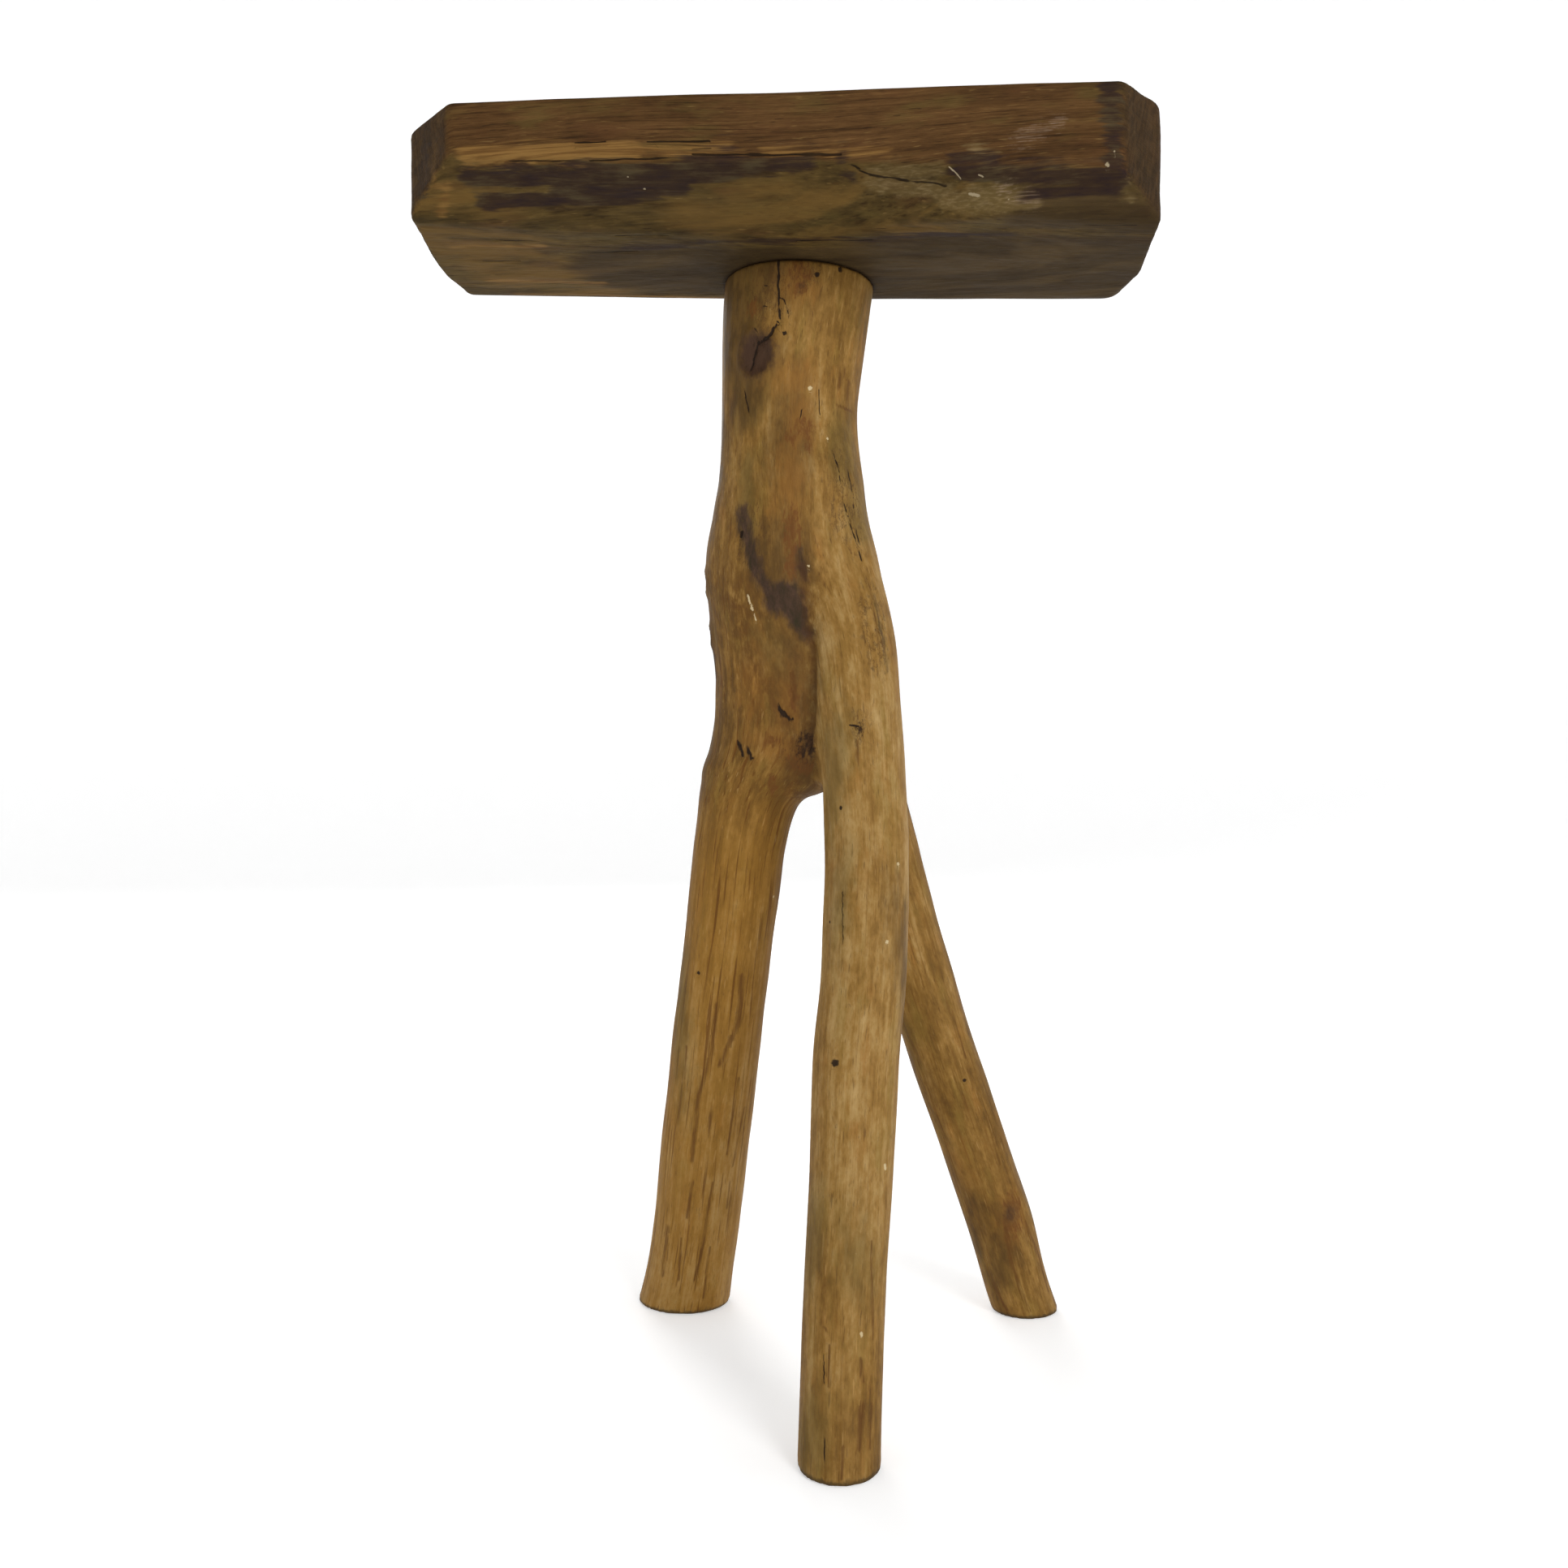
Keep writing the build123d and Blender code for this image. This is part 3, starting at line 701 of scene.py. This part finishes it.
def seat():
    mesh, points = field_mesh("seat_plank", seat_field, SEAT_LOW, SEAT_HIGH, VOXEL)
    normals = field_normals(seat_field, points)
    marks = mark_fields(points, seat_field, {}, SEAT_STROKES)
    fine = {kind: fine_offsets(points, seat_field, lines) for kind, lines in SEAT_FINE.items()}
    from_tenon = tenon_radius(points[:, 0], points[:, 1])
    in_bore = np.abs(from_tenon - TENON_R) < 1.5
    under_trunk = (from_tenon < UNDER_TRUNK_R) & (points[:, 2] < UNDERSIDE + 12)
    free = np.where(in_bore | under_trunk, 0.0, 1.0)
    rise = 0.45 * noise_at(points, (0.02, 0.045, 0.045), 4)
    rise += 0.22 * noise_at(points, (0.03, 0.16, 0.16), 5)
    rise += 0.08 * noise_at(points, (0.05, 0.5, 0.5), 6)
    rise -= 0.5 * groove(fine["crack"], 3.0)
    rise -= 0.35 * np.clip(-marks["pale"] / 2, 0, 1)
    move_points(mesh, points + normals * (rise * free - 0.2)[:, None])
    store(mesh, "side", np.clip((normals[:, 2] + 0.55) / 0.35, 0, 1))
    store(mesh, "end", np.clip((np.abs(normals[:, 0]) - 0.45) / 0.25, 0, 1))
    # Nearness to the branch: a dark line along the joint, painted contact shade together with grime
    store(mesh, "joint_grime_and_shade", np.clip(branch_field(*points.T), 0, 20))
    store(mesh, "grain", plank_grain(points))
    for kind, values in {**marks, **fine}.items():
        store(mesh, kind, values)
    return mesh


def wedge():
    mesh, points = field_mesh("wedge", wedge_piece_field, WEDGE_LOW, WEDGE_HIGH, WEDGE_VOXEL)
    store(mesh, "place", points)
    return mesh


# ---------------------------------------------------------------- materials
def shown(red, green, blue):
    """A colour as a screen shows it, 0 to 255, in the shader's linear units."""
    channels = [channel / 255 for channel in (red, green, blue)]
    return (*[((c + 0.055) / 1.055) ** 2.4 for c in channels], 1.0)


class Surface:
    """A procedural material, built up one layer at a time. Sizes are in millimetres."""

    def __init__(self, name):
        self.material = bpy.data.materials.new(name)
        self.material.use_nodes = True
        self.tree = self.material.node_tree
        self.shader = self.tree.nodes["Principled BSDF"]
        self.count = 0
        self.colour = None

    def feed(self, socket, value):
        if isinstance(value, bpy.types.NodeSocket):
            self.tree.links.new(value, socket)
        else:
            socket.default_value = value

    def node(self, kind, inputs, **settings):
        node = self.tree.nodes.new("ShaderNode" + kind)
        for name, value in settings.items():
            setattr(node, name, value)
        for socket, value in inputs.items():
            self.feed(node.inputs[socket], value)
        return node

    def number(self, name):
        return self.node("Attribute", {}, attribute_name=name).outputs["Fac"]

    def place(self, name):
        return self.node("Attribute", {}, attribute_name=name).outputs["Vector"]

    def noise(self, place, size, detail=2.0, roughness=0.5):
        """Noise round zero, its cells as large as size along each axis."""
        self.count += 1
        shift = (self.count * 3.7, self.count * 7.1, self.count * 1.9)
        scale = tuple(1 / length for length in size)
        mapping = self.node("Mapping", {"Vector": place, "Location": shift, "Scale": scale})
        texture = self.node("TexNoise", {
            "Vector": mapping.outputs[0], "Scale": 1.0, "Detail": detail, "Roughness": roughness,
        })
        return self.math("SUBTRACT", texture.outputs["Fac"], 0.5)

    def math(self, operation, *values):
        return self.node("Math", dict(enumerate(values)), operation=operation).outputs[0]

    def vector(self, operation, *values):
        return self.node("VectorMath", dict(enumerate(values)), operation=operation)

    def total(self, start, *terms):
        """The start plus each value times its weight."""
        result = start
        for value, weight in terms:
            result = self.math("MULTIPLY_ADD", value, weight, result)
        return result

    def rise(self, value, low, high, top=1.0):
        """From 0 where the value is low to top where it is high, smoothly."""
        inputs = {"Value": value, "From Min": low, "From Max": high, "To Max": top}
        node = self.node("MapRange", inputs, interpolation_type="SMOOTHSTEP")
        return node.outputs["Result"]

    def both(self, a, b):
        return self.math("MULTIPLY", a, b)

    def ramp(self, value, stops):
        node = self.node("ValToRGB", {"Fac": value})
        elements = node.color_ramp.elements
        elements[0].position, elements[0].color = stops[0]
        elements[1].position, elements[1].color = stops[-1]
        for position, colour in stops[1:-1]:
            elements.new(position).color = colour
        return node.outputs["Color"]

    def layer(self, under, share, over, blend="MIX"):
        """Lays a colour over another, as much as share says."""
        inputs = {"Factor": share, "A": under, "B": over}
        node = self.tree.nodes.new("ShaderNodeMix")
        node.data_type = "RGBA"
        node.blend_type = blend
        colours = [socket for socket in node.inputs if socket.type == "RGBA"]
        self.feed(node.inputs[0], inputs["Factor"])
        self.feed(colours[0], inputs["A"])
        self.feed(colours[1], inputs["B"])
        return node.outputs[2]

    def paint(self, share, over):
        """Lays a colour over what is painted so far, as much as share says."""
        self.colour = self.layer(self.colour, share, over)

    def mixed(self, one, other, value, low, high):
        """One colour where the value is low, the other where it is high."""
        return self.layer(shown(*one), self.rise(value, low, high), shown(*other))

    def mark(self, name, ragged, place, size, soft=0.4, top=1.0):
        """How much of a mark shows: its edge wanders by about ragged and is soft wide."""
        edge = self.total(self.number(name), (self.noise(place, size, 3.0, 0.6), 4 * ragged))
        return self.rise(edge, soft / 2, -soft / 2, top)

    def fine(self, name, place, size, wander=0.8, top=0.95, soft=0.3):
        """How much of a fine mark shows: its line wanders a little."""
        self.count += 1
        scale = tuple(1 / length for length in size)
        shift = (self.count, 0, 0)
        mapping = self.node("Mapping", {"Vector": place, "Scale": scale, "Location": shift})
        texture = self.node("TexNoise", {"Vector": mapping.outputs[0], "Scale": 1.0})
        sway = self.vector("SUBTRACT", texture.outputs["Color"], (0.5, 0.5, 0.5)).outputs[0]
        moved = self.vector("MULTIPLY_ADD", sway, (2 * wander,) * 3, self.place(name)).outputs[0]
        away = self.vector("LENGTH", moved).outputs["Value"]
        return self.rise(away, 1 + soft, 1 - soft, top)

    def fine_pair(self, names, place, size, wander, soft=0.3):
        """How much of two kinds of fine mark shows, where they are drawn alike."""
        shares = [self.fine(name, place, size, wander, soft=soft) for name in names]
        return self.math("MAXIMUM", *shares)

    def finish(self, roughness, height, depth, gloss):
        bump = self.node("Bump", {"Height": height, "Distance": depth * MM, "Strength": 1.0})
        self.feed(self.shader.inputs["Base Color"], self.colour)
        self.feed(self.shader.inputs["Roughness"], roughness)
        self.feed(self.shader.inputs["Normal"], bump.outputs["Normal"])
        self.shader.inputs["Specular IOR Level"].default_value = gloss
        return self.material


def branch_wood():
    """Peeled branch: ochre to beige, mottled, with dark streaks along the fibres."""
    s = Surface("peeled_branch_wood")
    grain = s.place("grain")
    figure = s.number("figure")
    blotch = s.noise(grain, (13, 13, 34), 4.0, 0.6)
    cloud = s.noise(grain, (5, 5, 12), 4.0, 0.6)
    mottle = s.noise(grain, (1.8, 1.8, 3.2), 3.0, 0.7)
    streak = s.noise(grain, (2.6, 2.6, 60), 3.0, 0.55)
    line = s.noise(grain, (1.3, 1.3, 46), 2.0)
    fibre = s.noise(grain, (0.55, 0.55, 12), 2.0)
    pore = s.noise(grain, (0.5, 0.5, 3.5), 1.0)
    dash = s.noise(grain, (0.75, 0.75, 7), 1.0)
    vein = s.math("ABSOLUTE", s.noise(grain, (4, 4, 10), 4.0, 0.65))
    patch = s.noise(s.place("place"), (2.2, 2.2, 5.5), 3.0, 0.65)
    olive_tint = s.noise(grain, (8, 8, 26), 3.0, 0.6)
    orange_tint = s.noise(grain, (7, 7, 18), 3.0, 0.6)

    tone = s.total(
        0.2, (s.number("pale"), 0.36), (blotch, 0.9), (cloud, 0.7), (mottle, 0.5),
        (s.both(fibre, s.total(0.35, (figure, 0.65))), 0.35),
        (s.both(streak, s.total(0.3, (figure, 0.7))), 1.1),
        (s.both(patch, s.total(0.25, (s.number("fork"), 0.75))), 1.1),
    )
    s.colour = s.ramp(tone, (
        (0.0, shown(88, 62, 24)), (0.25, shown(112, 81, 34)), (0.45, shown(132, 99, 48)),
        (0.65, shown(149, 119, 70)), (1.0, shown(172, 144, 96)),
    ))
    s.paint(s.rise(olive_tint, 0.02, 0.22, 0.4), shown(116, 94, 40))
    s.paint(s.rise(orange_tint, 0.04, 0.24, 0.4), shown(138, 94, 40))
    s.paint(s.both(s.number("yellow"), 0.45), shown(136, 96, 33))
    dark_line = s.both(s.rise(line, 0.08, 0.18), figure)
    s.paint(s.both(dark_line, 0.75), shown(86, 52, 16))
    s.paint(s.rise(pore, 0.12, 0.26, 0.4), shown(80, 52, 20))
    s.paint(s.rise(mottle, 0.14, 0.3, 0.4), shown(82, 56, 26))
    dashes = s.both(s.rise(dash, 0.17, 0.24, 0.6), s.total(1.0, (figure, -0.6)))
    s.paint(dashes, shown(66, 42, 18))
    s.paint(s.rise(dash, -0.18, -0.26, 0.4), shown(166, 132, 78))

    # Olive patches, partly stains and partly painted shade on the left of the trunk
    olive = s.mark("olive", 4.0, grain, (4, 4, 10), 11.0, 0.62)
    s.paint(olive, s.mixed((88, 70, 32), (108, 88, 46), cloud, -0.1, 0.15))
    # Dark brown patches, partly stains and partly painted shade under the seat and on the legs
    umber = s.mark("umber", 5.0, grain, (4, 4, 12), 13.0, 0.75)
    s.paint(umber, s.mixed((68, 48, 21), (92, 66, 29), cloud, -0.1, 0.15))
    orange = s.mark("orange", 4.0, grain, (3, 3, 8), 9.0, 0.42)
    s.paint(orange, s.mixed((134, 90, 36), (108, 70, 28), cloud, 0.0, 0.15))
    rust = s.both(s.mark("rust", 3.4, grain, (1.2, 1.2, 3.4), 3.0, 0.85), s.rise(mottle, -0.24, 0.06))
    s.paint(rust, shown(92, 56, 22))
    bark = s.mark("bark", 4.0, grain, (3, 3, 8), 6.0)
    s.paint(s.both(bark, s.rise(vein, 0.03, 0.0, 0.6)), shown(70, 46, 22))
    s.paint(s.both(bark, s.rise(mottle, 0.02, 0.16, 0.5)), shown(72, 50, 24))
    # Painted shade inside the fork, where the limbs meet
    fork = s.both(s.number("fork"), s.rise(patch, 0.2, -0.15, 0.85))
    s.paint(fork, shown(86, 56, 21))
    stain = s.mark("stain", 1.8, grain, (2.0, 2.0, 5), 4.0, 0.92)
    stain_tint = s.ramp(s.total(0.45, (mottle, 1.3), (cloud, 1.6)), (
        (0.0, shown(38, 34, 20)), (0.4, shown(52, 39, 30)), (0.7, shown(64, 47, 38)),
        (1.0, shown(84, 62, 34)),
    ))
    s.paint(stain, stain_tint)
    halo = s.rise(s.number("knot"), 6.0, 0.0, 0.5)
    s.paint(halo, shown(86, 62, 28))
    knot = s.mark("knot", 1.8, grain, (2.2, 2.2, 3.0), 5.0, 0.92)
    s.paint(knot, s.mixed((58, 40, 30), (40, 26, 16), mottle, 0.0, 0.2))
    # The crease line: a stained line together with painted crease shade
    crease = s.mark("crease", 1.2, grain, (1.5, 1.5, 6), 3.6, 0.65)
    s.paint(crease, shown(66, 40, 15))
    bark_hole = s.mark("bark_hole", 3.0, grain, (1.0, 1.0, 1.6), 3.0)
    s.paint(s.both(bark_hole, s.rise(mottle, -0.12, 0.1)), shown(44, 28, 14))
    hatch = s.fine_pair(("hatch", "scratch"), grain, (1, 1, 8), 1.3, 0.7)
    s.paint(s.both(hatch, s.rise(fibre, -0.24, 0.06, 0.85)), shown(82, 51, 18))
    crack = s.fine_pair(("crack", "fissure"), grain, (2, 2, 4), 1.6)
    dark = s.math("MAXIMUM", crack, s.fine("hole", grain, (1, 1, 1), 0.6))
    s.paint(dark, shown(28, 17, 8))
    speck = s.fine("speck", grain, (0.8, 0.8, 0.8), 1.0, 0.85)
    s.paint(speck, shown(186, 168, 130))

    rings = s.math("SINE", s.total(s.both(s.number("pith"), 2.6), (cloud, 7.0)))
    end = s.number("end")
    end_colour = s.layer(shown(108, 76, 38), s.rise(rings, -0.2, 0.9, 0.6), shown(76, 50, 24))
    s.paint(end, end_colour)
    rim = s.rise(s.total(s.number("rim"), (mottle, 1.2)), 0.15, 0.7, 0.75)
    s.paint(rim, shown(50, 40, 22))
    # Painted contact shade and grime along the joint with the seat
    joint_grime_and_shade = s.rise(s.number("joint_grime_and_shade"), 1.0, 0.2, 0.65)
    s.paint(joint_grime_and_shade, shown(40, 27, 14))

    roughness = s.total(0.62, (cloud, 0.3), (line, 0.25), (stain, 0.1), (end, 0.2))
    height = s.total(
        0.0, (fibre, 0.8), (pore, -0.5), (mottle, 0.35), (dark_line, -0.35), (crack, -0.8),
    )
    return s.finish(roughness, height, 0.25, 0.1)


def plank_wood():
    """Seat plank: darker and browner, stained and rubbed, with long straight grain."""
    s = Surface("hewn_plank_wood")
    grain = s.place("grain")
    side = s.number("side")
    blotch = s.noise(grain, (60, 13, 18), 4.0, 0.6)
    cloud = s.noise(grain, (18, 5, 6), 4.0, 0.6)
    band = s.noise(grain, (150, 2.6, 24), 3.0, 0.6)
    line = s.noise(grain, (34, 0.8, 3), 3.0, 0.55)
    fibre = s.noise(grain, (14, 0.45, 0.8), 2.0)
    fleck = s.noise(grain, (6, 0.6, 1.2), 1.0)
    grit = s.noise(grain, (5, 0.9, 1.6), 3.0, 0.65)
    saw = s.noise(grain, (1.3, 18, 1.3), 3.0, 0.6)
    tint = s.noise(grain, (34, 9, 10), 3.0, 0.6)

    tone = s.total(
        0.42, (blotch, 0.8), (cloud, 0.5), (band, 0.55), (line, -0.45), (fibre, 0.55), (grit, 0.5),
    )
    under = s.ramp(tone, (
        (0.0, shown(40, 31, 15)), (0.35, shown(64, 50, 25)), (0.65, shown(82, 65, 34)),
        (1.0, shown(110, 88, 46)),
    ))
    front = s.ramp(tone, (
        (0.0, shown(44, 29, 14)), (0.35, shown(70, 48, 25)), (0.65, shown(85, 60, 33)),
        (1.0, shown(110, 81, 46)),
    ))
    s.colour = s.layer(under, side, front)
    s.paint(s.rise(tint, 0.03, 0.2, 0.45), shown(82, 68, 34))
    s.paint(s.rise(tint, -0.05, -0.22, 0.35), shown(72, 44, 26))
    s.paint(s.rise(line, 0.07, 0.2, 0.55), shown(40, 26, 13))
    s.paint(s.rise(fleck, 0.15, 0.24, 0.5), shown(32, 22, 12))
    s.paint(s.rise(fleck, -0.16, -0.28, 0.3), shown(126, 100, 58))

    warm = s.mark("warm", 6.0, grain, (30, 5, 8), 18.0, 0.6)
    s.paint(s.both(warm, s.rise(band, -0.1, 0.12)), shown(104, 78, 38))
    shade = s.mark("shade", 5.0, grain, (34, 5, 8), 10.0, 0.74)
    s.paint(shade, s.mixed((50, 38, 23), (66, 52, 33), band, -0.02, 0.14))
    golden = s.mark("golden", 2.4, grain, (26, 1.4, 2), 3.2, 0.82)
    golden_tint = s.mixed((122, 91, 48), (94, 66, 33), line, -0.06, 0.12)
    s.paint(golden, golden_tint)
    pale = s.mark("pale", 3.0, grain, (9, 1.8, 4), 4.0, 0.62)
    pale_tint = s.mixed((94, 77, 46), (122, 104, 72), fibre, -0.1, 0.3)
    s.paint(pale, pale_tint)
    stain_tint = s.ramp(s.total(0.5, (cloud, 2.6), (fibre, 0.8)), (
        (0.0, shown(36, 25, 26)), (0.5, shown(46, 33, 24)), (1.0, shown(66, 56, 38)),
    ))
    stain = s.mark("stain", 3.6, grain, (30, 1.8, 3), 3.0, 0.9)
    s.paint(stain, stain_tint)
    haze = s.mark("haze", 3.0, grain, (3, 1.2, 3), 5.0)
    s.paint(s.both(haze, s.rise(fibre, -0.1, 0.2, 0.6)), shown(128, 108, 90))
    crack = s.fine("crack", grain, (10, 2, 2), 2.0, 0.9)
    s.paint(crack, shown(26, 18, 10))
    end = s.number("end")
    end_tint = s.mixed((42, 31, 19), (66, 49, 30), saw, -0.16, 0.2)
    s.paint(s.both(end, 0.75), end_tint)
    speck = s.fine("speck", grain, (1, 1, 1), 1.0, 0.7)
    s.paint(speck, shown(158, 144, 116))
    # Painted contact shade and grime along the joint with the branch
    joint_grime_and_shade = s.rise(s.number("joint_grime_and_shade"), 1.6, 0.2, 0.7)
    s.paint(joint_grime_and_shade, shown(34, 23, 13))

    roughness = s.total(0.68, (cloud, 0.3), (line, 0.25), (pale, 0.1), (stain, -0.05))
    height = s.total(
        0.0, (fibre, 0.8), (line, -0.7), (fleck, -0.4), (crack, -0.9), (band, 0.4), (grit, 0.5),
    )
    return s.finish(roughness, height, 0.3, 0.04)


def wedge_wood():
    """The split wedge: a paler, straight-grained wood."""
    s = Surface("split_wedge_wood")
    place = s.place("place")
    streak = s.noise(place, (0.9, 2.5, 24), 3.0)
    cloud = s.noise(place, (5, 8, 14), 2.0)
    s.colour = s.ramp(s.total(0.5, (streak, 1.1), (cloud, 0.6)), (
        (0.0, shown(112, 80, 44)), (0.5, shown(146, 112, 66)), (1.0, shown(172, 140, 92)),
    ))
    roughness = s.total(0.6, (cloud, 0.3))
    return s.finish(roughness, streak, 0.2, 0.1)


# ---------------------------------------------------------------- studio
def studio():
    """A pale floor that curves up into a low wall all round, far from the stool."""
    flat, cove, wall = 2.6, 1.2, 2.0
    turn = [math.radians(angle) for angle in range(0, 91, 9)]
    profile = [(0.0, 0.0), (flat / 2, 0.0)]
    profile += [(flat + cove * math.sin(a), cove * (1 - math.cos(a))) for a in turn]
    profile.append((flat + cove, cove + wall))
    sides = 96
    around = [2 * math.pi * i / sides for i in range(sides)]
    points = [(r * math.cos(a), r * math.sin(a), z) for r, z in profile[1:] for a in around]
    points.append((0.0, 0.0, 0.0))
    faces = []
    for ring in range(len(profile) - 2):
        for i in range(sides):
            j = (i + 1) % sides
            faces.append((
                ring * sides + i, (ring + 1) * sides + i, (ring + 1) * sides + j, ring * sides + j,
            ))
    faces += [(len(points) - 1, i, (i + 1) % sides) for i in range(sides)]
    mesh = bpy.data.meshes.new("studio_floor")
    mesh.from_pydata(points, [], faces)
    mesh.polygons.foreach_set("use_smooth", [True] * len(mesh.polygons))
    floor = bpy.data.objects.new("studio_floor", mesh)
    bpy.context.scene.collection.objects.link(floor)
    paint = bpy.data.materials.new("studio_paint")
    paint.use_nodes = True
    shader = paint.node_tree.nodes["Principled BSDF"]
    shader.inputs["Base Color"].default_value = (0.8, 0.8, 0.8, 1)
    shader.inputs["Roughness"].default_value = 0.9
    shader.inputs["Emission Color"].default_value = (1, 1, 1, 1)
    shader.inputs["Emission Strength"].default_value = 0.4
    mesh.materials.append(paint)


def area_light(name, place, target, size, power):
    data = bpy.data.lights.new(name, "AREA")
    data.shape = "DISK"
    data.size = size
    data.energy = power
    light = bpy.data.objects.new(name, data)
    light.location = place
    light.rotation_euler = (Vector(target) - Vector(place)).to_track_quat("-Z", "Y").to_euler()
    bpy.context.scene.collection.objects.link(light)


def lights():
    middle = (0, 0, 0.25)
    area_light("key", (1.15, -1.8, 1.05), middle, 0.9, 24.5)
    area_light("back", (-0.6, 1.9, 1.3), middle, 1.2, 18)
    world = bpy.data.worlds.new("studio_air")
    world.use_nodes = True
    world.node_tree.nodes["Background"].inputs["Color"].default_value = (1, 1, 1, 1)
    world.node_tree.nodes["Background"].inputs["Strength"].default_value = 0.25
    bpy.context.scene.world = world
    bpy.context.scene.view_settings.view_transform = "Standard"


def camera():
    """A level camera in front, about half as high as the stool, turned a little to the left."""
    data = bpy.data.cameras.new("view")
    data.sensor_width = SENSOR
    data.lens = LENS
    eye = bpy.data.objects.new("view", data)
    eye.location = EYE
    eye.rotation_euler = (math.radians(90), 0, math.radians(EYE_TURN))
    bpy.context.scene.collection.objects.link(eye)
    bpy.context.scene.camera = eye


add_piece("seat_plank", seat(), plank_wood(), "seat_slab")
add_piece("forked_branch", branch(), branch_wood(), "forked_trunk")
add_piece("wedge", wedge(), wedge_wood(), "tenon_wedge")
studio()
lights()
camera()
